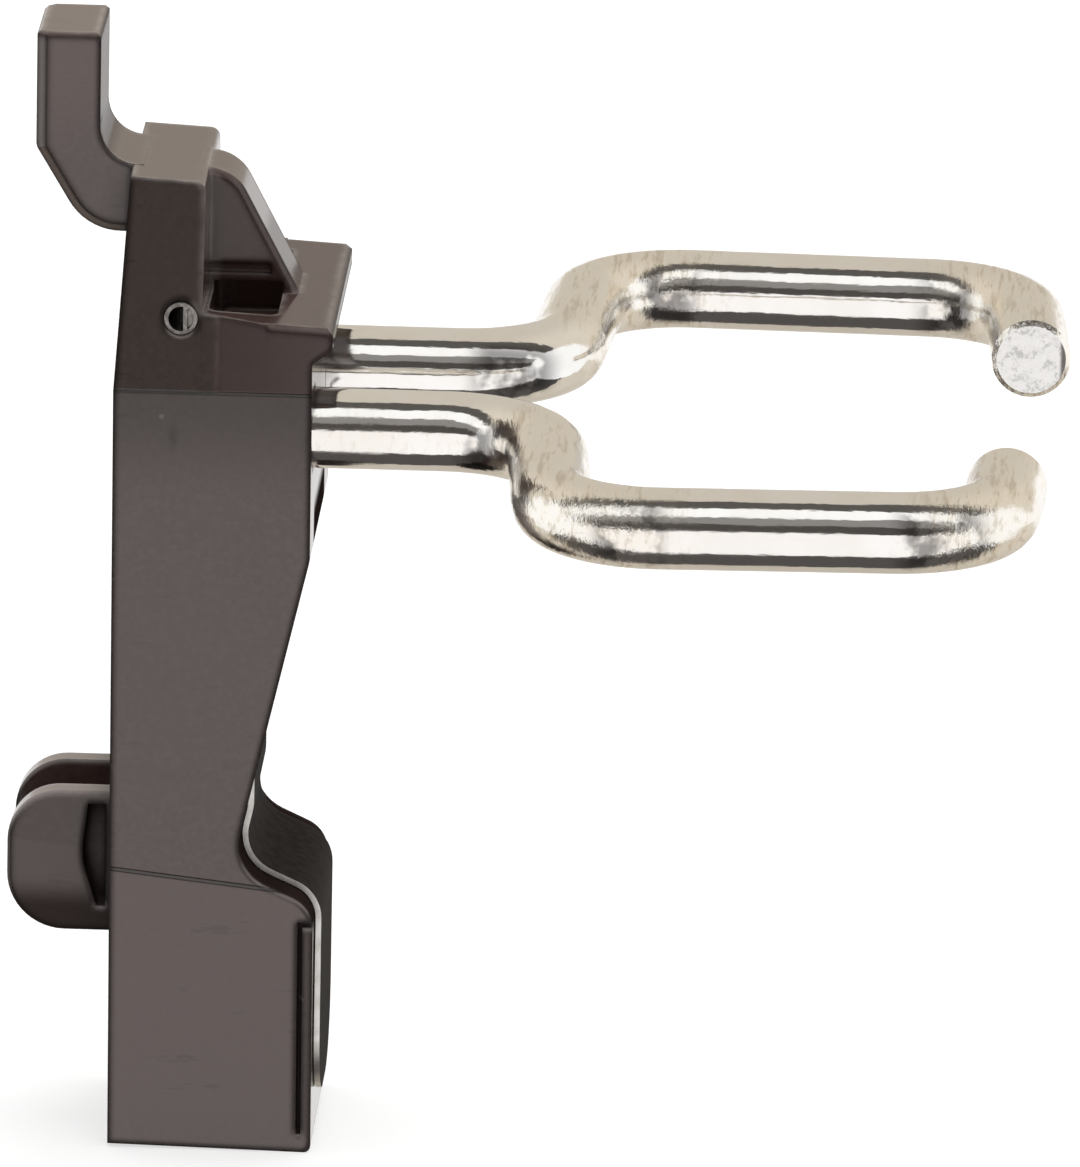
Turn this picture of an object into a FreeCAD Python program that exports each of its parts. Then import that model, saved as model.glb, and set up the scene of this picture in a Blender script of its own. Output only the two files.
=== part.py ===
import FreeCAD, Part
import math
import os

V = FreeCAD.Vector

# The panel stands in the plane X = 0, +X points away from it and +Z up.
# Y = 0 is the mid-plane. The origin is the centre of the body's flat back.
# Heights are measured from the bottom of the body, lengths are in millimetres.

# Heights of the upper part: each hangs from the prong's top by the named distances
prong_height = 56.5         # overall height
prong_rise = 6.6            # the prong's top above the column's
column_rise = 10.2          # the column's top above the upper crease
front_face_drop = 8.6       # the upper crease down to where the front face ends
column_height = prong_height - prong_rise
back_height = column_height - column_rise
front_foot_height = back_height - front_face_drop

# Body, seen from the side
front_x = 9.84              # front face that the rods come out of
front_foot_round = 1.2
slant_deg = 12.9            # the slanted front leans back towards its foot
block_front_x = 10.2        # front of the lower block
shoulder_height = 12.95     # corner between the block's front and its sloping top
shoulder_fall_deg = 24.2
shoulder_round = 1.7
waist_round = 2.35          # hollow between the slanted front and the block's top
bottom_fall_deg = 1.0       # the bottom falls towards the front
block_foot_round = 0.35

# Body, seen from the front
body_width = 17.4           # at the upper crease
crease_width = 14.5         # at the lower crease, at the back
foot_width = 12.0           # at the bottom of the lower block
foot_crease_height = 14.7   # the lower crease, at the back
foot_crease_fall_deg = 6.2

# Column above the upper crease
column_front_x = 4.3
column_back_x = 0.55        # above the crease the back leans forward, so that the prong can tip in
column_top_width = 11.5
column_round = 0.5
top_fall_deg = 3.0          # upward faces fall towards the front

# Shelf that ends in a lip over the rods
lip_front_x = 10.85
lip_back_x = 7.6
lip_width = 17.9
lip_drop = 6.75             # the column's top down to the lip's, at the front
lip_height = column_height - lip_drop
lip_thickness = 1.05
lip_cove = 0.75             # height of the slope under the lip
lip_bevel = 0.3

# Web between the column and the shelf
web_width = 4.4
web_drop = 0.15             # its top lies this much below the column's front edge
web_slant_deg = 28.0        # from the vertical
web_foot_x = 8.8            # where its slanted front meets the shelf
web_round = 2.2
web_bevel = 0.3
web_bridge_rise = 0.7       # its underside spans the pocket, this much above the lip
web_groove_rise = 0.4
web_groove_height = 0.5
web_groove_depth = 0.3

# Pocket across the shelf
pocket_back_x = 4.55
pocket_front_x = 8.0
pocket_width = 13.7
pocket_depth = 3.2
pocket_round = 0.6

# Prong that hooks over the panel
prong_width = 6.4
prong_thickness = 3.2
panel_gap = 1.15            # between the prong and the plane of the panel's face
heel_drop = 5.9             # the prong's top down to where its back turns into the slant
prong_heel_height = prong_height - heel_drop
heel_round = 0.8
neck_drop = 3.55            # the column's top down to the underside of the neck
neck_height = column_height - neck_drop
neck_slant_deg = 31.0
neck_round = 3.0
saddle_round = 1.9          # between the prong and the column
prong_bevel = 0.5
prong_top_bevel = 0.2

# Snap tabs
tab_spread = 7.3            # over the outer faces of the two plates
tab_thickness = 1.4
tab_reach = 5.35
tab_bottom = 10.4
tab_top = 17.62
tab_top_round = 2.6
tab_bottom_round = 2.9
tab_bevel = 0.15
notch_depth = 1.0           # holds the edge of the panel's hole
notch_start = 0.4           # behind the plane of the panel's face
notch_reach = 1.3           # at its top
notch_belly = 1.65          # the rear edge bulges to here before it is rounded
notch_foot = 0.85           # and comes back to here at the bottom
notch_bottom = 11.7
notch_belly_height = 14.2
notch_top = 17.0
notch_round = 4.0

# Rods
rod_diameter = 4.0
rod_drop = 2.2              # the upper crease down to the rods' axes
rod_height = back_height - rod_drop
rod_spacing = 12.7          # between the axes where the rods leave the body
rod_seat_x = 3.0            # inner end of the rods
rod_fit = 0.02
rod_end_bevel = 0.25
fork_spacing = 48.0         # between the axes at the outer corners of the cranks
crank_x = 21.4
crank_lean_deg = 3.5        # the crank leans outwards by this much from square
toe_in_deg = 2.2            # the outer runs come closer towards the tips
tip_open_deg = 3.0          # the tips lean outwards by this much from square
left_tip_x = 44.5           # the two bent tips differ a little
left_tip_y = 11.2           # cut end
right_tip_setback = 0.6
right_tip_x = left_tip_x - right_tip_setback
right_tip_y = 13.8
bend_radius = 5.3           # of the axis

# Rolled spring pin across the column
pin_diameter = 1.65
pin_wall = 0.2              # thickness of the strip that it is rolled from
pin_fold = 0.12             # the strip's inner edge crosses the bore this far from the axis
pin_recess = 0.3            # depth of the hollow behind that edge
pin_x = 3.25
pin_rise = 3.5              # above the upper crease
pin_height = back_height + pin_rise
pin_fit = 0.02

# Spring tongue in front of the lower block
tongue_width = 10.4
tongue_thickness = 0.28
tongue_gap = 0.06           # between the tongue and the body behind it
tongue_fit = 0.04           # in its slot
tongue_seat_height = 24.5   # upper end, inside the body
tongue_exit_height = 17.6   # where it turns into its slot
tongue_exit_round = 3.0
tongue_end_height = 2.0
tongue_end_round = 4.0

# Groove up each side of the lower block near its front, turning forward at its top
groove_width = 0.25
groove_depth = 0.4
groove_setback = 0.5
groove_bottom = 0.8

same_point = 1e-7           # closer points are one point
join = 0.5                  # how far a joined feature reaches into the body
over = 2.0                  # how far a cutting solid reaches out of what it cuts


def level(h):
    """Z of a height above the bottom of the body."""
    return h - back_height / 2


def tan(deg):
    return math.tan(math.radians(deg))


def side(u, v):
    return V(u, 0, level(v))


def plan(u, v):
    return V(u, v, 0)


def front(u, v):
    return V(0, u, level(v))


def unit(a, b):
    length = math.hypot(b[0] - a[0], b[1] - a[1])
    return (b[0] - a[0]) / length, (b[1] - a[1]) / length


def corner(points, i):
    """Start, middle and end of the arc at a corner that has a radius."""
    here = points[i]
    if len(here) < 3:
        return None
    to_last = unit(here, points[i - 1])
    to_next = unit(here, points[(i + 1) % len(points)])
    half = math.acos(to_last[0] * to_next[0] + to_last[1] * to_next[1]) / 2
    reach = here[2] / math.tan(half)
    inset = here[2] / math.sin(half) - here[2]
    middle = unit((0, 0), (to_last[0] + to_next[0], to_last[1] + to_next[1]))
    return [(here[0] + d[0] * s, here[1] + d[1] * s)
            for d, s in ((to_last, reach), (middle, inset), (to_next, reach))]


def path(points, place, closed=True):
    """Lines through the points, with an arc at each (u, v, radius)."""
    arcs = [corner(points, i) for i in range(len(points))]
    ends = [(arc[0], arc[2]) if arc else (point, point) for arc, point in zip(arcs, points)]
    edges = []
    for i, arc in enumerate(arcs):
        if arc:
            edges.append(Part.Arc(*[place(*p[:2]) for p in arc]).toShape())
        if closed or i + 1 < len(points):
            start = place(*ends[i][1][:2])
            end = place(*ends[(i + 1) % len(points)][0][:2])
            if start.distanceToPoint(end) > same_point:
                edges.append(Part.makeLine(start, end))
    return edges


def shift_path(points, distance):
    """The same open path moved to its left, with its radii kept concentric."""
    moved = []
    last = len(points) - 1
    for i, point in enumerate(points):
        d0 = unit(points[max(i - 1, 0)], points[max(i, 1)])
        d1 = unit(points[min(i, last - 1)], points[min(i + 1, last)])
        scale = distance / (1 + d0[0] * d1[0] + d0[1] * d1[1])
        u = point[0] - (d0[1] + d1[1]) * scale
        v = point[1] + (d0[0] + d1[0]) * scale
        if len(point) == 3:
            left_turn = d0[0] * d1[1] - d0[1] * d1[0] > 0
            moved.append((u, v, point[2] - distance if left_turn else point[2] + distance))
        else:
            moved.append((u, v))
    return moved


def slab(points, width, y=None):
    """Solid over a side outline, across the mid-plane or from a given Y."""
    start = -width / 2 if y is None else y
    face = Part.Face(Part.Wire(path(points, side)))
    face.translate(V(0, start, 0))
    return face.extrude(V(0, width, 0))


def strip(points, thickness, width):
    """Solid of a bent strip, from its axis in the side view."""
    left = shift_path(points, thickness / 2)
    right = shift_path(points, -thickness / 2)
    edges = path(left, side, closed=False) + path(right, side, closed=False)
    edges.append(Part.makeLine(side(*left[0][:2]), side(*right[0][:2])))
    edges.append(Part.makeLine(side(*left[-1][:2]), side(*right[-1][:2])))
    face = Part.Face(Part.Wire(Part.__sortEdges__(edges)))
    face.translate(V(0, -width / 2, 0))
    return face.extrude(V(0, width, 0))


def mirrored(shape):
    return shape.mirror(V(0, 0, 0), V(0, 1, 0))


def both_sides(shape):
    return [shape, mirrored(shape)]


def edges_where(shape, test):
    return [edge for edge in shape.Edges if test(edge.CenterOfMass, edge)]


def column_half_width(h):
    """Half the width between the column's leaning sides."""
    lean = (body_width - column_top_width) / 2 / (column_height - back_height)
    return body_width / 2 - (h - back_height) * lean


def shelf_height(x):
    return lip_height + (lip_front_x - x) * tan(top_fall_deg)


def column_top(x):
    return column_height - (x - column_back_x) * tan(top_fall_deg)


def body_front_path():
    """Front of the body, from the slant's upper end down to the block's foot."""
    rise = tan(shoulder_fall_deg)
    lean = tan(slant_deg)
    reach = block_front_x - front_x + front_foot_height * lean
    waist_height = (shoulder_height + rise * reach) / (1 + rise * lean)
    waist_x = front_x - (front_foot_height - waist_height) * lean
    return [(front_x, front_foot_height), (waist_x, waist_height, waist_round),
            (block_front_x, shoulder_height, shoulder_round),
            (block_front_x, -block_front_x * tan(bottom_fall_deg))]


def side_lean():
    """How much half the body narrows per millimetre between the creases."""
    return (body_width - crease_width) / 2 / (back_height - foot_crease_height)


def foot_draft():
    """How much half the lower block narrows per millimetre down to its bottom."""
    return (crease_width - foot_width) / 2 / foot_crease_height


def side_slip(x):
    """How much wider the drafted lower block is at this X than at its back."""
    return 2 * x * tan(foot_crease_fall_deg) * (foot_draft() - side_lean())


def foot_cut():
    """Cuts the left side of the lower block, from the falling crease down."""
    crease = crease_width / 2
    wide = body_width / 2 + over
    outline = [(crease, foot_crease_height), (wide, foot_crease_height), (wide, -over),
               (crease - foot_draft() * (foot_crease_height + over), -over)]
    fall = tan(foot_crease_fall_deg)
    cutter = Part.Face(Part.Wire(path(outline, front)))
    cutter.translate(V(-over, over * fall * side_lean(), over * fall))
    run = block_front_x + 2 * over
    return cutter.extrude(V(run, -run * fall * side_lean(), -run * fall))


def make_trunk():
    """Everything below the upper crease, tapering downwards."""
    top, waist, shoulder, foot = body_front_path()
    outline = [(0, 0), (foot[0], foot[1], block_foot_round), shoulder, waist,
               (top[0], top[1], front_foot_round), (front_x, back_height), (0, back_height)]
    low = crease_width / 2 - side_lean() * (foot_crease_height + over)
    top = body_width / 2
    taper = [(-top, back_height), (top, back_height), (low, -over), (-low, -over)]
    view = Part.Face(Part.Wire(path(taper, front))).extrude(V(block_front_x + over, 0, 0))
    return slab(outline, body_width).common(view).cut(both_sides(foot_cut()))


def make_column():
    """Leaning column above the crease, cut to its tapering front view."""
    outline = [(0, back_height), (column_front_x, back_height),
               (column_front_x, column_top(column_front_x), column_round),
               (column_back_x, column_height)]
    top = column_height + over
    taper = [(-column_half_width(back_height), back_height), (column_half_width(back_height), back_height),
             (column_half_width(top), top), (-column_half_width(top), top)]
    view = Part.Face(Part.Wire(path(taper, front))).extrude(V(column_front_x + over, 0, 0))
    return slab(outline, body_width).common(view)


def head_section(x, half_width):
    low = body_width / 2
    top = shelf_height(x)
    points = [(-low, back_height), (low, back_height), (half_width, top), (-half_width, top)]
    wire = Part.Wire(path(points, front))
    wire.translate(V(x, 0, 0))
    return wire


def make_head():
    """Shelf and lip over the rods, widening from the column's taper to the lip."""
    narrow = head_section(column_front_x, column_half_width(shelf_height(column_front_x)))
    wide = head_section(lip_back_x, lip_width / 2)
    end = head_section(lip_front_x, lip_width / 2)
    shelf = Part.makeLoft([narrow, wide], True, True)
    lip = Part.makeLoft([wide, end], True, True)
    rim = edges_where(lip, lambda c, e: c.z > level(lip_height) - lip_bevel and c.x > lip_back_x + lip_bevel)
    lip = lip.makeChamfer(lip_bevel, rim)
    low = lip_height - lip_thickness
    below = [(front_x, back_height), (front_x, low - lip_cove), (lip_front_x, low),
             (lip_front_x + over, low), (lip_front_x + over, back_height)]
    return shelf.fuse(lip.cut(slab(below, lip_width + over)))


def make_web():
    """Web that braces the column against the shelf."""
    top = column_top(column_front_x) - web_drop
    shelf = shelf_height(web_foot_x)
    lean = tan(web_slant_deg)
    back = column_front_x - join
    outline = [(back, shelf - join), (web_foot_x + join * lean, shelf - join),
               (web_foot_x - (top - shelf) * lean, top, web_round), (back, top)]
    web = slab(outline, web_width)
    rim = edges_where(web, lambda c, e: abs(c.y) > web_width / 2 - web_bevel / 2
                      and c.x > column_front_x and c.z > level(shelf))
    return web.makeChamfer(web_bevel, rim)


def make_prong():
    """Neck and prong that go through the panel's upper hole."""
    back = -panel_gap - prong_thickness
    neck_x = back + (prong_heel_height - neck_height) * tan(neck_slant_deg)
    inner = column_back_x + join
    outline = [(inner, column_height), (-panel_gap, column_height, saddle_round), (-panel_gap, prong_height),
               (back, prong_height), (back, prong_heel_height, heel_round),
               (neck_x, neck_height, neck_round), (inner, neck_height)]
    prong = slab(outline, prong_width)
    rear = edges_where(prong, lambda c, e: abs(c.y) > prong_width / 2 - prong_bevel / 2
                       and c.x < neck_x and c.x < -panel_gap - prong_thickness / 2
                       and c.z < level(prong_height) - prong_bevel)
    prong = prong.makeChamfer(prong_bevel, rear)
    rim = edges_where(prong, lambda c, e: c.z > level(prong_height) - prong_top_bevel / 2)
    return prong.makeChamfer(prong_top_bevel, rim)


def make_tab():
    """One half-round snap tab, with the notch that holds the panel."""
    outer = tab_spread / 2
    outline = [(join, tab_bottom), (join, tab_top), (-tab_reach, tab_top, tab_top_round),
               (-tab_reach, tab_bottom, tab_bottom_round)]
    tab = slab(outline, tab_thickness, outer - tab_thickness)
    rim = edges_where(tab, lambda c, e: c.y > outer - tab_bevel / 2 and c.x < join - tab_bevel / 2)
    tab = tab.makeChamfer(tab_bevel, rim)
    notch = [(-notch_start, notch_bottom), (-notch_start, notch_top), (-notch_reach, notch_top),
             (-notch_belly, notch_belly_height, notch_round), (-notch_foot, notch_bottom)]
    return tab.cut(slab(notch, notch_depth + over, outer - notch_depth))


def tongue_path():
    """Axis of the tongue: out of its slot, down the slant and round the block's shoulder."""
    beside = shift_path(body_front_path(), tongue_gap + tongue_thickness / 2)
    top, waist, shoulder, foot = beside
    exit_x = top[0] - (top[1] - tongue_exit_height) * tan(slant_deg)
    return [(exit_x, tongue_seat_height), (exit_x, tongue_exit_height, tongue_exit_round),
            waist, shoulder, (foot[0], tongue_end_height)]


def make_tongue():
    """S-bent spring strip with a rounded free end."""
    tongue = strip(tongue_path(), tongue_thickness, tongue_width)
    half = tongue_width / 2
    outline = [(-half, tongue_end_height, tongue_end_round), (half, tongue_end_height, tongue_end_round),
               (half, tongue_seat_height), (-half, tongue_seat_height)]
    view = Part.Face(Part.Wire(path(outline, front))).extrude(V(block_front_x + over, 0, 0))
    return tongue.common(view)


def tongue_slot():
    points = tongue_path()
    top = (points[0][0], points[0][1] + tongue_fit)
    return strip([top] + points[1:], tongue_thickness + 2 * tongue_fit, tongue_width + 2 * tongue_fit)


def make_pocket():
    low = shelf_height(pocket_front_x) - pocket_depth
    half = pocket_width / 2
    outline = [(x, y, pocket_round) for x, y in ((pocket_back_x, -half), (pocket_front_x, -half),
                                                 (pocket_front_x, half), (pocket_back_x, half))]
    face = Part.Face(Part.Wire(path(outline, plan)))
    face.translate(V(0, 0, level(low)))
    return face.extrude(V(0, 0, lip_height + web_bridge_rise - low))


def web_groove():
    """Shallow groove across one face of the web, above its underside."""
    low = lip_height + web_bridge_rise + web_groove_rise
    high = low + web_groove_height
    end = web_foot_x - (high - shelf_height(web_foot_x)) * tan(web_slant_deg) - 2 * web_bevel
    outline = [(column_front_x, low), (end, low), (end, high), (column_front_x, high)]
    return slab(outline, over, web_width / 2 - web_groove_depth)


def block_groove():
    """Groove in the left side of the lower block, parallel to its drafted face."""
    end = block_front_x - groove_setback
    top = shoulder_height - shoulder_round / 2
    rise = top - groove_bottom
    inner = (foot_width + side_slip(end)) / 2 + foot_draft() * groove_bottom - groove_depth
    outer = inner + over
    outline = [(end - groove_width, inner), (end, inner), (end, outer), (end - groove_width, outer)]
    face = Part.Face(Part.Wire(path(outline, plan)))
    face.translate(V(0, 0, level(groove_bottom)))
    turn = Part.makeBox(groove_setback + over, over, groove_width)
    turn.translate(V(end - groove_width, inner + foot_draft() * rise, level(top - groove_width)))
    return face.extrude(V(0, foot_draft() * rise, rise)).fuse(turn)


def rod_path(tip_x, end_y):
    """Axis of a rod in plan, from its inner end to its cut tip."""
    near = rod_spacing / 2
    far = fork_spacing / 2
    far_x = crank_x + (far - near) * tan(crank_lean_deg)
    tip_y = far - (tip_x - far_x) * tan(toe_in_deg)
    end_x = tip_x + (tip_y - end_y) * tan(tip_open_deg)
    return [(rod_seat_x, near), (crank_x, near, bend_radius), (far_x, far, bend_radius),
            (tip_x, tip_y, bend_radius), (end_x, end_y)]


def make_rod(tip_x, end_y):
    """Round rod swept along its bent axis, with broken edges at both cut ends."""
    spine = Part.Wire(path(rod_path(tip_x, end_y), plan, closed=False))
    spine.translate(V(0, 0, level(rod_height)))
    start = V(rod_seat_x, rod_spacing / 2, level(rod_height))
    circle = Part.Wire(Part.makeCircle(rod_diameter / 2, start, V(1, 0, 0)))
    rod = spine.makePipeShell([circle], True, False)
    ends = [edge for face in rod.Faces if face.Surface.TypeId == "Part::GeomPlane" for edge in face.Edges]
    return rod.makeChamfer(rod_end_bevel, ends)


def rod_bore():
    depth = lip_front_x - rod_seat_x + over
    start = V(rod_seat_x - rod_fit, rod_spacing / 2, level(rod_height))
    return Part.makeCylinder(rod_diameter / 2 + rod_fit, depth, start, V(1, 0, 0))


def across(diameter, length):
    """Cylinder across the column at the pin's place."""
    start = V(pin_x, -length / 2, level(pin_height))
    return Part.makeCylinder(diameter / 2, length, start, V(0, 1, 0))


def beyond(x):
    """Everything of the pin in front of this X."""
    size = pin_diameter + over
    return Part.makeBox(size, body_width, size, V(x, -body_width / 2, level(pin_height) - size / 2))


def make_pin():
    """Rolled spring pin, as long as the column is wide there: open behind the fold, closed in front."""
    length = 2 * column_half_width(pin_height)
    width = pin_diameter - 2 * pin_wall
    bore = across(width, length)
    hollow = bore.cut(beyond(pin_x + pin_fold))
    ends = bore.cut(across(pin_diameter, length - 2 * pin_recess)).common(beyond(pin_x + pin_fold + pin_wall))
    return across(pin_diameter, length).cut([hollow, ends])


def make_body():
    """The whole moulding."""
    body = make_trunk().fuse([make_column(), make_head(), make_web(), make_prong()] + both_sides(make_tab()))
    holes = [make_pocket(), tongue_slot(), across(pin_diameter + 2 * pin_fit, body_width + over)]
    holes += both_sides(rod_bore()) + both_sides(web_groove()) + both_sides(block_groove())
    return body.cut(holes).removeSplitter()


def main():
    os.makedirs("parts", exist_ok=True)
    nodes = {
        "body": make_body(),
        "rod_left": make_rod(left_tip_x, left_tip_y),
        "rod_right": mirrored(make_rod(right_tip_x, right_tip_y)),
        "cross_pin": make_pin(),
        "spring_tongue": make_tongue(),
    }
    for name, shape in nodes.items():
        box = shape.BoundBox
        print("%-14s solids %d valid %s volume %.1f x %.2f..%.2f y %.2f..%.2f z %.2f..%.2f" % (
            name, len(shape.Solids), shape.isValid(), shape.Volume,
            box.XMin, box.XMax, box.YMin, box.YMax, box.ZMin, box.ZMax))
        shape.exportStep("parts/" + name + ".step")


main()
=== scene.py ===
import bpy
import math
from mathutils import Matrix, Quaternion, Vector


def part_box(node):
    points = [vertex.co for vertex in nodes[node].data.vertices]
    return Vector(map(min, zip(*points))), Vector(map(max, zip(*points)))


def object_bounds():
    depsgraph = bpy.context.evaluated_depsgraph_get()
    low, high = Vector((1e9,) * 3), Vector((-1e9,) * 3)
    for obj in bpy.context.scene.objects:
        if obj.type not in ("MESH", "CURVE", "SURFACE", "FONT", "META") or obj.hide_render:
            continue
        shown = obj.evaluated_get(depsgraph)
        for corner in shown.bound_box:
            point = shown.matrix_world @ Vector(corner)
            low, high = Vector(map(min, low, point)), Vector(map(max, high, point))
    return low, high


# Metres, in the frame of the part: X away from the panel, Z up. Y = 0 is the mid-plane.

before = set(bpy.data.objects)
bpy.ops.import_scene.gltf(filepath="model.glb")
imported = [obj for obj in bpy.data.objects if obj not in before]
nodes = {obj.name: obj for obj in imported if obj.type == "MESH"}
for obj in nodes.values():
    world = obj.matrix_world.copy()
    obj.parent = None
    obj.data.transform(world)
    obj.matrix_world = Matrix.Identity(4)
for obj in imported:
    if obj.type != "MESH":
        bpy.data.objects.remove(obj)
cad_low, cad_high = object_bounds()
scene = bpy.context.scene


def colour(r, g, b):
    return (r, g, b, 1.0)


WHITE = colour(1.0, 1.0, 1.0)

# Heights on the body, measured down from the prong's top
BODY_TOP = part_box("body")[1].z
COLUMN_TOP_Z = BODY_TOP - 0.00665
WEB_HALF_Z = BODY_TOP - 0.01045
SHELF_Z = BODY_TOP - 0.01305
HIGH_CREASE_Z = BODY_TOP - 0.0168
TRUNK_SHADE_Z = BODY_TOP - 0.02315
FRONT_FOOT_Z = BODY_TOP - 0.02665
LOW_CREASE_Z = BODY_TOP - 0.0418
TAB_FOOT_Z = BODY_TOP - 0.04495
SHOULDER_Z = BODY_TOP - 0.04515

# The lower crease's height is the one at the back. It falls this much per metre towards the front.
CREASE_FALL = 0.1086

# Depths on the body, from the panel's face
COLUMN_EDGE_X = 0.0043
COLUMN_FOOT_X = 0.0050
LIP_SHADE_END_X = 0.0120

# Places on the rods. Their first runs lie near the mid-plane, their outer runs far from it.
ROD_TIP_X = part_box("rod_left")[1].x
CRANK_START_Y = 0.0072
CRANK_END_X = 0.0250
TIP_BEND_X = 0.0385
FIRST_RUN_MARK_X = 0.0193
CRANK_MARK_X = 0.0262
TIP_MARK_X = 0.0414
FIRST_RUN_Y = 0.0090
OUTER_RUN_Y = 0.0185
TIP_Y = 0.0150

TONGUE_END_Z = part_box("spring_tongue")[0].z


class Net:
    """The nodes of one material or world, with short calls to add and link them."""

    def __init__(self, owner):
        owner.use_nodes = True
        self.tree = owner.node_tree

    def put(self, socket, value):
        if isinstance(value, bpy.types.NodeSocket):
            self.tree.links.new(value, socket)
        elif value is not None:
            socket.default_value = value

    def add(self, kind, settings=None, **inputs):
        made = self.tree.nodes.new("ShaderNode" + kind)
        for name, value in (settings or {}).items():
            setattr(made, name, value)
        for name, value in inputs.items():
            self.put(made.inputs[name.replace("_", " ")], value)
        return made

    def math(self, operation, a, b=None, clamp=False):
        made = self.add("Math", {"operation": operation, "use_clamp": clamp})
        self.put(made.inputs[0], a)
        self.put(made.inputs[1], b)
        return made.outputs[0]

    def times(self, first, *others):
        for other in others:
            first = self.math("MULTIPLY", first, other)
        return first

    def most(self, first, *others):
        for other in others:
            first = self.math("MAXIMUM", first, other)
        return first

    def plus(self, a, b):
        return self.math("ADD", a, b)

    def rest(self, value):
        """What is left of 1."""
        return self.math("SUBTRACT", 1.0, value, True)

    def size(self, value):
        return self.math("ABSOLUTE", value)

    def split(self, vector):
        return self.add("SeparateXYZ", Vector=vector).outputs

    def mix(self, factor, a, b):
        made = self.add("Mix", {"data_type": "RGBA"})
        self.put(made.inputs[0], factor)
        self.put(made.inputs[6], a)
        self.put(made.inputs[7], b)
        return made.outputs[2]

    def cover(self, tone, mask, share, new_tone):
        """The tone with a share of a new one over it where a mask is 1."""
        return self.mix(self.times(mask, share), tone, new_tone)

    def span(self, value, low, high, to_low=0.0, to_high=1.0):
        """Maps low..high of a value onto to_low..to_high, smoothly and clamped."""
        made = self.add("MapRange", {"interpolation_type": "SMOOTHSTEP"}, Value=value, From_Min=low,
                        From_Max=high, To_Min=to_low, To_Max=to_high)
        return made.outputs[0]

    def above(self, value, border, soft):
        """0 up to a border, 1 from a soft width past it."""
        return self.span(value, border, border + soft)

    def below(self, value, border, soft):
        """1 up to a border, 0 from a soft width past it."""
        return self.span(value, border, border + soft, 1.0, 0.0)

    def near(self, value, place, width):
        """1 close to a place, 0 from a width away."""
        off = self.size(self.math("SUBTRACT", value, place))
        return self.span(off, width * 0.4, width, 1.0, 0.0)

    def place(self):
        return self.add("TexCoord").outputs["Object"]

    def stretch(self, vector, scale):
        return self.add("Mapping", Vector=vector, Scale=scale).outputs[0]

    def noise(self, vector, scale, detail=2.0, roughness=0.5):
        made = self.add("TexNoise", Vector=vector, Scale=scale, Detail=detail, Roughness=roughness)
        return made.outputs[0]

    def bump(self, height, distance, strength=1.0, normal=None):
        made = self.add("Bump", Height=height, Distance=distance, Strength=strength, Normal=normal)
        return made.outputs[0]

    def edges(self, radius, full=0.25):
        """0 on flat ground, rising towards 1 at an edge, with the rounded normal."""
        rounded = self.add("Bevel", {"samples": 6}, Radius=radius).outputs[0]
        flat = self.add("NewGeometry").outputs["Normal"]
        along = self.add("VectorMath", {"operation": "DOT_PRODUCT"})
        self.put(along.inputs[0], rounded)
        self.put(along.inputs[1], flat)
        bend = self.math("SUBTRACT", 1.0, along.outputs["Value"])
        return self.span(bend, full * 0.04, full), rounded


class Spot:
    """Where a point of the surface is, and how squarely it faces along X and Y."""

    def __init__(self, net):
        seen = net.add("TexCoord").outputs
        self.here = seen["Object"]
        self.x, self.y, self.z = net.split(self.here)
        self.off_middle = net.size(self.y)
        normal = net.split(seen["Normal"])
        self.facing_x = net.size(normal[0])
        self.facing_y = net.size(normal[1])


def new_material(name):
    made = bpy.data.materials.new(name)
    net = Net(made)
    return made, net, net.tree.nodes["Principled BSDF"]


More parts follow.
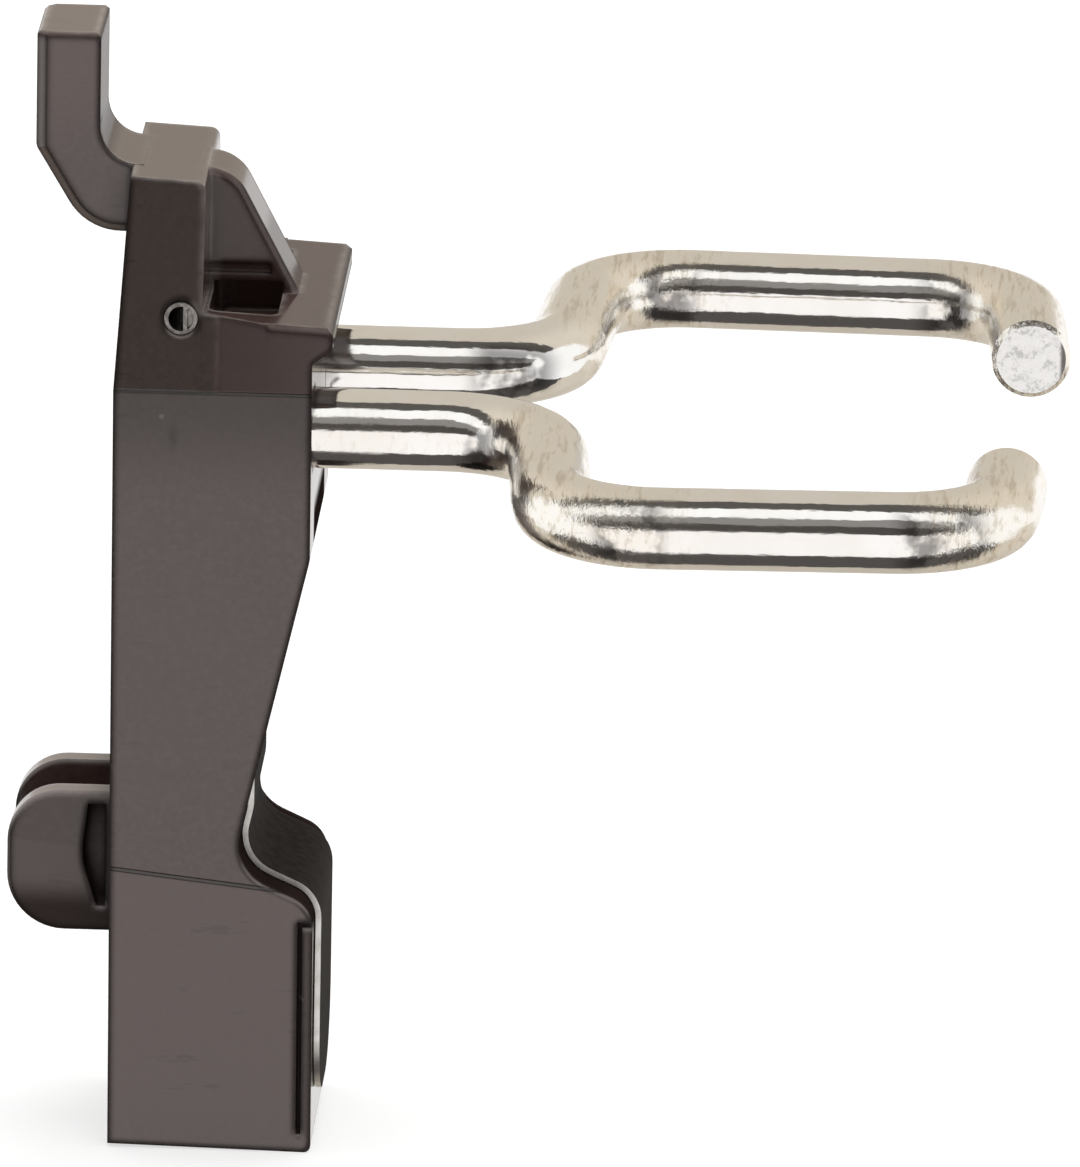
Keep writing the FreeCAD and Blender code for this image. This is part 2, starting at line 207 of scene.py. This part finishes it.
class BodyZones:
    """Masks that are 1 inside a zone of the body and fade out at its border."""

    def __init__(self, net, spot):
        x, z = spot.x, spot.z
        self.side = net.span(spot.facing_y, 0.6, 0.8)
        self.off_side = net.rest(self.side)
        head = net.above(z, HIGH_CREASE_Z, 0.0002)
        self.prong = net.above(z, COLUMN_TOP_Z, 0.004)
        self.above_column = net.above(z, COLUMN_TOP_Z - 0.0005, 0.001)
        self.column = net.times(head, net.above(x, 0.0, 0.0002),
                                net.below(x, COLUMN_FOOT_X - 0.0002, 0.0004))
        self.under_lip = net.times(head, self.side, net.below(z, SHELF_Z, 0.0004),
                                   net.above(x, COLUMN_FOOT_X, 0.0003))
        front = net.times(head, net.above(x, COLUMN_EDGE_X - 0.0002, 0.0005))
        self.web_side = net.times(front, self.side, net.above(z, SHELF_Z, 0.0004))
        self.shelf = net.times(front, self.off_side, net.below(z, WEB_HALF_Z, 0.0008))
        self.column_edge = net.times(net.near(x, COLUMN_EDGE_X, 0.0008),
                                     net.above(z, SHELF_Z - 0.0004, 0.0006))
        self.under_crease = net.times(net.span(z, TRUNK_SHADE_Z, HIGH_CREASE_Z),
                                      net.below(z, HIGH_CREASE_Z, 0.0002))
        self.tabs = net.times(net.below(x, -0.0002, 0.0002), net.below(z, 0.0, 0.001))
        self.find_creases(net, x, z)
        self.find_front(net, spot)

    def find_creases(self, net, x, z):
        level = net.plus(z, net.times(x, CREASE_FALL))
        self.block = net.below(level, LOW_CREASE_Z - 0.0003, 0.0003)
        low = net.times(net.near(level, LOW_CREASE_Z, 0.00014), net.above(x, 0.0, 0.0001))
        self.creases = net.times(net.most(low, net.near(z, HIGH_CREASE_Z, 0.00012)), self.side)

    def find_front(self, net, spot):
        """Painted shade on the front: a band at the foot of the front face, and the block's shoulder beside
        the tongue.
        """
        z = spot.z
        foot_band_shade = net.times(net.above(z, FRONT_FOOT_Z, 0.0012), net.below(z, FRONT_FOOT_Z + 0.0026, 0.0012),
                           net.below(spot.off_middle, 0.0044, 0.0008))
        shoulder = net.times(net.above(z, SHOULDER_Z, 0.0007), net.below(z, SHOULDER_Z + 0.0055, 0.001))
        self.painted_front_shade = net.times(net.most(foot_band_shade, shoulder), self.off_side,
                                    net.above(spot.x, COLUMN_FOOT_X, 0.0006))


class BodyEdges:
    """Masks of the body's edges: which way they face, the pale ones with a painted highlight, patchy like
    wear, and the ones with painted shade.

    On the lower half, edges that face only half upwards get the painted highlight too.
    """

    def __init__(self, net, spot, zones):
        found, rounded = net.edges(0.00060, 0.055)
        facing = net.split(rounded)
        self.forward = net.span(facing[0], 0.5, 0.9)
        lift = net.span(spot.z, 0.0, 0.005, 0.32, 0.0)
        self.upward = net.span(net.plus(facing[2], lift), 0.45, 0.8)
        pale = net.most(self.upward, net.times(zones.column_edge, 0.8))
        patchy = net.span(net.noise(spot.here, 700, 3), 0.3, 0.7, 0.4, 1.0)
        self.highlight_and_rubbed = net.times(found, patchy, pale)
        self.edge_shade = net.times(found, net.rest(pale))


def moulding_tone(net, spot, zones, grain):
    """Brown with clouds and grain, with painted light making the block and the prong paler, and painted
    shade under the upper crease and on the column's sides.
    """
    clouds = net.span(net.noise(spot.here, 130), 0.3, 0.7)
    tone = net.mix(clouds, colour(0.057, 0.033, 0.029), colour(0.067, 0.040, 0.035))
    tone = net.mix(net.span(grain, 0.35, 0.7), tone, colour(0.078, 0.048, 0.043))
    # Painted light: the block and the prong are made paler.
    tone = net.cover(tone, net.most(zones.block, zones.prong), 0.7, colour(0.100, 0.064, 0.057))
    # Painted shade: the trunk is darkened just under the upper crease.
    tone = net.cover(tone, zones.under_crease, 0.5, colour(0.030, 0.018, 0.015))
    # Painted shade on the column's sides.
    return net.cover(tone, net.times(zones.column, zones.side), 0.5, colour(0.038, 0.038, 0.033))


def wear_and_painted_light(net, spot, zones, edges, tone):
    """Painted highlight on the pale edges and painted shade on the others, pale specks and dark scuffs, and
    painted shade along the creases.
    """
    # Painted highlight on the pale edges, patchy like wear.
    tone = net.cover(tone, edges.highlight_and_rubbed, 0.75, colour(0.34, 0.30, 0.28))
    # Painted shade on the other edges.
    tone = net.cover(tone, edges.edge_shade, 0.8, colour(0.010, 0.006, 0.005))
    flat = net.add("CombineXYZ", X=spot.x, Y=spot.z).outputs[0]
    dots = net.add("TexVoronoi", {"feature": "F1", "voronoi_dimensions": "2D"}, Vector=flat, Scale=62.0)
    specks = net.span(dots.outputs["Distance"], 0.003, 0.011, 0.5, 0.0)
    tone = net.cover(tone, specks, zones.side, colour(0.26, 0.23, 0.22))
    scuffs = net.noise(net.stretch(spot.here, (1.0, 1.0, 5.0)), 210, 4, 0.7)
    tone = net.cover(tone, net.span(scuffs, 0.62, 0.72), 0.45, colour(0.026, 0.017, 0.015))
    # Painted shade: dark lines along the creases.
    return net.cover(tone, zones.creases, 0.9, colour(0.008, 0.005, 0.004))


def hollow_shade_mask(net, spot):
    """1 deep in hollows, and about half of that above the upper crease; it places painted shade in the
    hollows.
    """
    open_sky = net.add("AmbientOcclusion", {"samples": 8, "only_local": True}, Distance=0.004).outputs["AO"]
    share = net.span(spot.z, HIGH_CREASE_Z - 0.00085, HIGH_CREASE_Z - 0.00035, 1.0, 0.55)
    return net.times(net.span(open_sky, 0.3, 0.75, 1.0, 0.0), share)


def shade_and_dull_mask(net, spot, zones, edges, tab_rim_highlight, shades):
    """Where the moulding gets painted shade and loses its gloss: most in hollows and corners, less in the
    shaded zones.
    """
    tab_shade = net.times(zones.tabs, net.span(spot.z, TAB_FOOT_Z, TAB_FOOT_Z + 0.0017, 0.90, 0.26))
    tab_shade = net.math("SUBTRACT", tab_shade, tab_rim_highlight, True)
    # Painted shade on the prong's forward-facing edges, and a faint one on the shelf and under the upper
    # crease.
    prong_front_shade = net.times(zones.above_column, zones.off_side, edges.forward, 0.5)
    faint_shade = net.times(net.most(zones.shelf, zones.under_crease), 0.28)
    return net.most(hollow_shade_mask(net, spot), net.times(edges.edge_shade, 0.95), tab_shade, zones.painted_front_shade,
                    prong_front_shade, faint_shade, shades)


def moulded_plastic():
    """Dark brown moulding: a matt base under a thin gloss, with painted light and shade; the places
    darkened by painted shade lose the gloss.
    """
    made, net, shader = new_material("moulded_plastic")
    spot = Spot(net)
    zones = BodyZones(net, spot)
    edges = BodyEdges(net, spot, zones)
    grain = net.noise(spot.here, 2600, 3, 0.6)
    tone = moulding_tone(net, spot, zones, grain)
    tone = wear_and_painted_light(net, spot, zones, edges, tone)
    # Painted highlight: the upward-facing rims of the tabs are made pale.
    tab_rim_highlight = net.times(zones.tabs, edges.upward)
    tone = net.cover(tone, tab_rim_highlight, 0.6, colour(0.40, 0.34, 0.33))
    lip_shade = net.times(zones.under_lip, net.span(spot.x, COLUMN_FOOT_X, LIP_SHADE_END_X, 0.66, 0.45))
    shades = net.most(lip_shade, net.times(zones.web_side, 0.40))
    tone = net.cover(tone, shades, 1.2, colour(0.082, 0.041, 0.035))
    shade_and_dull = shade_and_dull_mask(net, spot, zones, edges, tab_rim_highlight, shades)
    # Painted shade: where the mask is high the tone turns nearly black.
    net.put(shader.inputs["Base Color"], net.cover(tone, shade_and_dull, 0.8, colour(0.011, 0.008, 0.007)))
    rough = net.most(net.span(grain, 0.2, 0.8, 0.42, 0.55), net.times(shade_and_dull, 0.9))
    net.put(shader.inputs["Roughness"], rough)
    shader.inputs["Specular IOR Level"].default_value = 0.0
    net.put(shader.inputs["Coat Weight"], net.rest(shade_and_dull))
    shader.inputs["Coat IOR"].default_value = 1.75
    shader.inputs["Coat Roughness"].default_value = 0.12
    grooved = net.bump(zones.creases, -0.00005, 0.8, net.edges(0.00022)[1])
    net.put(shader.inputs["Normal"], net.bump(grain, 0.00002, 0.6, grooved))
    net.put(shader.inputs["Coat Normal"], grooved)
    return made


def tool_marks(net, spot):
    """Patches beside the bends where the bending tool gripped the rods, on the sides."""
    first_run = net.below(spot.off_middle, FIRST_RUN_Y, 0.001)
    outer_run = net.above(spot.off_middle, OUTER_RUN_Y, 0.0015)
    inner = net.times(net.near(spot.x, FIRST_RUN_MARK_X, 0.0028), first_run)
    outer = net.most(net.near(spot.x, CRANK_MARK_X, 0.0022), net.near(spot.x, TIP_MARK_X, 0.0028))
    outer = net.times(outer, outer_run)
    patchy = net.span(net.noise(spot.here, 560, 3), 0.42, 0.56)
    return net.times(net.most(outer, inner), net.span(spot.facing_y, 0.55, 0.8), patchy)


def sheared_end(net, spot):
    """The mask and the torn tone of the rods' cut ends, with a dark edge at the front."""
    mask = net.times(net.span(spot.facing_y, 0.85, 0.95), net.above(spot.x, TIP_BEND_X + 0.0015, 0.001),
                     net.below(spot.off_middle, TIP_Y, 0.0015))
    torn = net.span(net.noise(spot.here, 1700, 4, 0.75), 0.50, 0.62)
    tone = net.mix(torn, colour(0.99, 0.99, 0.98), colour(0.70, 0.70, 0.68))
    return mask, net.mix(net.above(spot.x, ROD_TIP_X - 0.0006, 0.0002), tone, colour(0.20, 0.19, 0.18))


def zinc_plate():
    """Bright zinc, rolled along the rods, warmer and streaked by dragging on the bends."""
    made, net, shader = new_material("zinc_plate")
    spot = Spot(net)
    cranks = net.times(net.above(spot.off_middle, CRANK_START_Y, 0.0033),
                       net.below(spot.x, CRANK_END_X, 0.006))
    bent = net.most(cranks, net.above(spot.x, TIP_BEND_X, 0.004))
    drag = net.noise(net.stretch(spot.here, (2.0, 0.2, 1.0)), 1300, 4, 0.65)
    patches = net.noise(spot.here, 330, 4, 0.6)
    tone = net.mix(net.span(patches, 0.35, 0.65), colour(0.98, 0.97, 0.955), colour(0.945, 0.925, 0.89))
    worn = net.times(bent, net.span(drag, 0.35, 0.6, 0.35, 1.0))
    tone = net.mix(worn, tone, colour(1.0, 0.95, 0.86))
    streaks = net.times(bent, net.span(drag, 0.50, 0.66))
    tone = net.cover(tone, streaks, 0.5, colour(0.52, 0.45, 0.37))
    tone = net.cover(tone, tool_marks(net, spot), 0.75, colour(0.13, 0.125, 0.13))
    end, torn = sheared_end(net, spot)
    net.put(shader.inputs["Base Color"], net.mix(end, tone, torn))
    shader.inputs["Metallic"].default_value = 1.0
    polish = net.plus(net.span(patches, 0.3, 0.75, 0.05, 0.13), net.times(worn, 0.11))
    net.put(shader.inputs["Roughness"], net.most(polish, net.times(end, 0.36)))
    ripple = net.noise(net.stretch(spot.here, (0.25, 1.0, 1.0)), 1100, 3, 0.6)
    lines = net.bump(ripple, 0.00004, 0.55)
    net.put(shader.inputs["Normal"], net.bump(drag, 0.00006, net.times(bent, 0.85), lines))
    return made


def drawn_steel():
    """Grey steel with fine drawn lines along the pin and worn edges."""
    made, net, shader = new_material("drawn_steel")
    lines = net.noise(net.stretch(net.place(), (1.0, 0.08, 1.0)), 4200)
    tone = net.mix(net.span(lines, 0.3, 0.7), colour(0.16, 0.15, 0.14), colour(0.33, 0.31, 0.29))
    rim, rounded = net.edges(0.00006)
    net.put(shader.inputs["Base Color"], net.mix(rim, tone, colour(0.46, 0.44, 0.42)))
    shader.inputs["Metallic"].default_value = 1.0
    shader.inputs["Roughness"].default_value = 0.36
    net.put(shader.inputs["Normal"], net.bump(lines, 0.00001, 0.5, rounded))
    return made


def spring_steel():
    """Dark strip with bright cut edges at its sides and round its lower end."""
    made, net, shader = new_material("spring_steel")
    spot = Spot(net)
    cut_foot = net.times(net.below(spot.facing_x, 0.4, 0.3),
                         net.below(spot.z, TONGUE_END_Z + 0.00535, 0.001))
    cut = net.most(net.span(spot.facing_y, 0.75, 0.95), cut_foot)
    rolled = net.noise(net.stretch(spot.here, (1.0, 1.0, 0.12)), 2400, 3)
    dark = net.mix(net.span(rolled, 0.3, 0.7), colour(0.014, 0.011, 0.010), colour(0.026, 0.021, 0.018))
    torn = net.span(net.noise(spot.here, 1500), 0.3, 0.7)
    bright = net.mix(torn, colour(0.74, 0.71, 0.67), colour(0.93, 0.92, 0.90))
    net.put(shader.inputs["Base Color"], net.mix(cut, dark, bright))
    net.put(shader.inputs["Metallic"], cut)
    net.put(shader.inputs["Roughness"], net.span(cut, 0.0, 1.0, 0.75, 0.38))
    shader.inputs["Specular IOR Level"].default_value = 0.06
    net.put(shader.inputs["Normal"], net.bump(rolled, 0.00001, 0.4))
    return made


def give(node, made):
    slots = nodes[node].data.materials
    slots.clear()
    slots.append(made)


give("body", moulded_plastic())
zinc = zinc_plate()
give("rod_left", zinc)
give("rod_right", zinc)
give("cross_pin", drawn_steel())
give("spring_tongue", spring_steel())

FLOOR_SIZE = 8.0
FLOOR_DROP = 0.00002
FLOOR_GLOW = 0.62
WORLD_STRENGTH = 0.45


def background_rays(net):
    """1 for the rays that show the background: seen, mirrored or through glass."""
    rays = net.add("LightPath").outputs
    return net.most(rays["Is Camera Ray"], rays["Is Glossy Ray"], rays["Is Transmission Ray"])


def stage_piece(name, verts, faces, made):
    """An object of the studio, not of the hook."""
    mesh = bpy.data.meshes.new(name)
    mesh.from_pydata(verts, [], faces)
    mesh.materials.append(made)
    staged = bpy.data.objects.new(name, mesh)
    scene.collection.objects.link(staged)
    return staged


def make_floor():
    """Pale floor: its own glow makes it white, and the lamps keep the shadow on it."""
    made = bpy.data.materials.new("pale_floor")
    net = Net(made)
    net.tree.nodes.clear()
    glow = net.add("Emission", Color=WHITE, Strength=net.times(background_rays(net), FLOOR_GLOW))
    matt = net.add("BsdfDiffuse", Color=colour(0.5, 0.5, 0.495))
    both = net.add("AddShader")
    net.put(both.inputs[0], glow.outputs[0])
    net.put(both.inputs[1], matt.outputs[0])
    net.put(net.add("OutputMaterial").inputs["Surface"], both.outputs[0])
    half = FLOOR_SIZE / 2
    corners = [(-half, -half, 0), (half, -half, 0), (half, half, 0), (-half, half, 0)]
    floor = stage_piece("floor", corners, [(0, 1, 2, 3)], made)
    floor.location.z = cad_low[2] - FLOOR_DROP
    floor.visible_glossy = False


def make_world():
    world = bpy.data.worlds.new("studio")
    scene.world = world
    net = Net(world)
    background = net.tree.nodes["Background"]
    background.inputs["Color"].default_value = WHITE
    strength = net.span(background_rays(net), 0.0, 1.0, WORLD_STRENGTH, 1.0)
    net.put(background.inputs["Strength"], strength)


def softbox(name, place, size, power, aim=(0.02, 0.0, 0.005)):
    lamp = bpy.data.lights.new(name, "AREA")
    lamp.shape = "SQUARE"
    lamp.size = size
    lamp.energy = power
    made = bpy.data.objects.new(name, lamp)
    made.location = place
    made.rotation_mode = "QUATERNION"
    made.rotation_quaternion = (Vector(aim) - Vector(place)).to_track_quat("-Z", "Y")
    made.visible_camera = False
    made.visible_glossy = False
    scene.collection.objects.link(made)


# A tent of panels round the X axis, which only metal and gloss mirror. Each panel has its
# start and end (degrees above the camera's side, over the top), how much brighter it gets
# towards the tent's ends, and its tone.
TENT_RADIUS = 0.5
TENT_LENGTH = 1.6
TENT_Z = 0.0176
TENT_STEPS = 8
TENT = [
    (-180, -158, 1.0, (1.0, 0.985, 0.97)),
    (-158, -142, 1.2, (0.60, 0.55, 0.48)),
    (-142, -103, 1.2, (0.535, 0.485, 0.415)),
    (-103, -56, 1.0, (0.085, 0.078, 0.075)),
    (-56, -15, 1.0, (1.0, 0.98, 0.97)),
    (-15, 8, 1.0, (1.0, 0.97, 0.96)),
    (8, 28, 1.0, (0.075, 0.068, 0.064)),
    (28, 47, 1.0, (0.26, 0.25, 0.24)),
    (47, 73, 1.0, (1.0, 1.0, 0.99)),
    (73, 97, 1.0, (0.10, 0.093, 0.085)),
    (97, 180, 1.2, (0.59, 0.54, 0.465)),
]


def tent_tone(name, gain, tone):
    made = bpy.data.materials.new(name)
    net = Net(made)
    net.tree.nodes.clear()
    off_middle = net.size(net.split(net.place())[0])
    strength = net.span(off_middle, 0.06, 0.40, 1.0, gain)
    glow = net.add("Emission", Color=colour(*tone), Strength=strength)
    net.put(net.add("OutputMaterial").inputs["Surface"], glow.outputs[0])
    return made


def tent_panel(name, start, end, gain, tone):
    verts, faces = [], []
    for k in range(TENT_STEPS + 1):
        turn = math.radians(start + (end - start) * k / TENT_STEPS)
        y, z = -math.cos(turn) * TENT_RADIUS, math.sin(turn) * TENT_RADIUS
        verts += [(-TENT_LENGTH / 2, y, z), (TENT_LENGTH / 2, y, z)]
        if k:
            faces.append((2 * k - 2, 2 * k - 1, 2 * k + 1, 2 * k))
    panel = stage_piece(name, verts, faces, tent_tone(name, gain, tone))
    panel.location.z = TENT_Z
    for rays in ("camera", "diffuse", "transmission", "shadow", "volume_scatter"):
        setattr(panel, "visible_" + rays, False)


# The camera stands at the photograph's viewing angle, far off and with a long lens.
CAMERA_PLACE = Vector((0.0548215, -0.8709745, 0.2443963))
CAMERA_AIM = Vector((0.02097, 0.0, 0.00825))
CAMERA_ROLL_DEG = 1.077
LENS_MM = 601.5
SENSOR_MM = 36.0


def make_camera():
    data = bpy.data.cameras.new("camera")
    data.sensor_fit = "HORIZONTAL"
    data.sensor_width = SENSOR_MM
    data.lens = LENS_MM
    data.clip_start = 0.05
    data.clip_end = 20.0
    camera = bpy.data.objects.new("camera", data)
    camera.location = CAMERA_PLACE
    camera.rotation_mode = "QUATERNION"
    roll = Quaternion((0.0, 0.0, 1.0), math.radians(CAMERA_ROLL_DEG))
    camera.rotation_quaternion = (CAMERA_AIM - CAMERA_PLACE).to_track_quat("-Z", "Y") @ roll
    scene.collection.objects.link(camera)
    scene.camera = camera


make_floor()
make_world()
for number, panel in enumerate(TENT):
    tent_panel("tent_%d" % number, *panel)
softbox("softbox_top", (0.1, 0.1, 1.0), 0.8, 7.5)
softbox("softbox_front", (0.25, -1.0, 0.35), 0.8, 2.6)
make_camera()
scene.view_settings.view_transform = "Standard"
